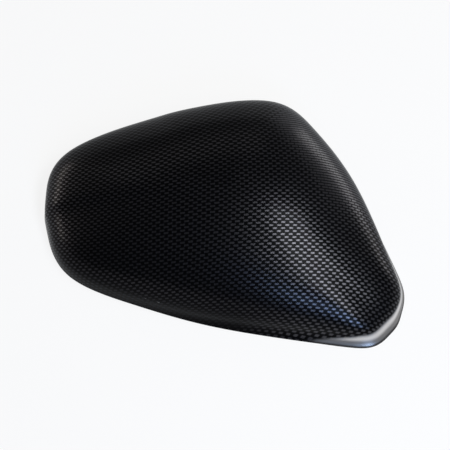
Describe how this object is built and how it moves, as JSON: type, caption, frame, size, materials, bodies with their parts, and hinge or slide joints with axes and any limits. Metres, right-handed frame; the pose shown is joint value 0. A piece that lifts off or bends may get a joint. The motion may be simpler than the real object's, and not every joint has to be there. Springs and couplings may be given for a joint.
{
  "type": "wing mirror cover",
  "caption": "Clip-on outer cover for a car's wing mirror: a domed thin shell with a flared lip at one corner, snap hooks and locating pins inside, in a woven carbon print under clear coat.",
  "frame": {"origin": "centre of the rim outline's box, in the rim plane", "axes": "+X towards the root end, +Y towards the long upper side, +Z out of the rim plane through the crown"},
  "size_m": [0.238, 0.172, 0.053],
  "materials": {
    "cover": "black moulded plastic, woven carbon print under a glossy clear coat outside, satin inside"
  },
  "bodies": {
    "root": {"mirror_cover": "cover"}
  },
  "joints": []
}
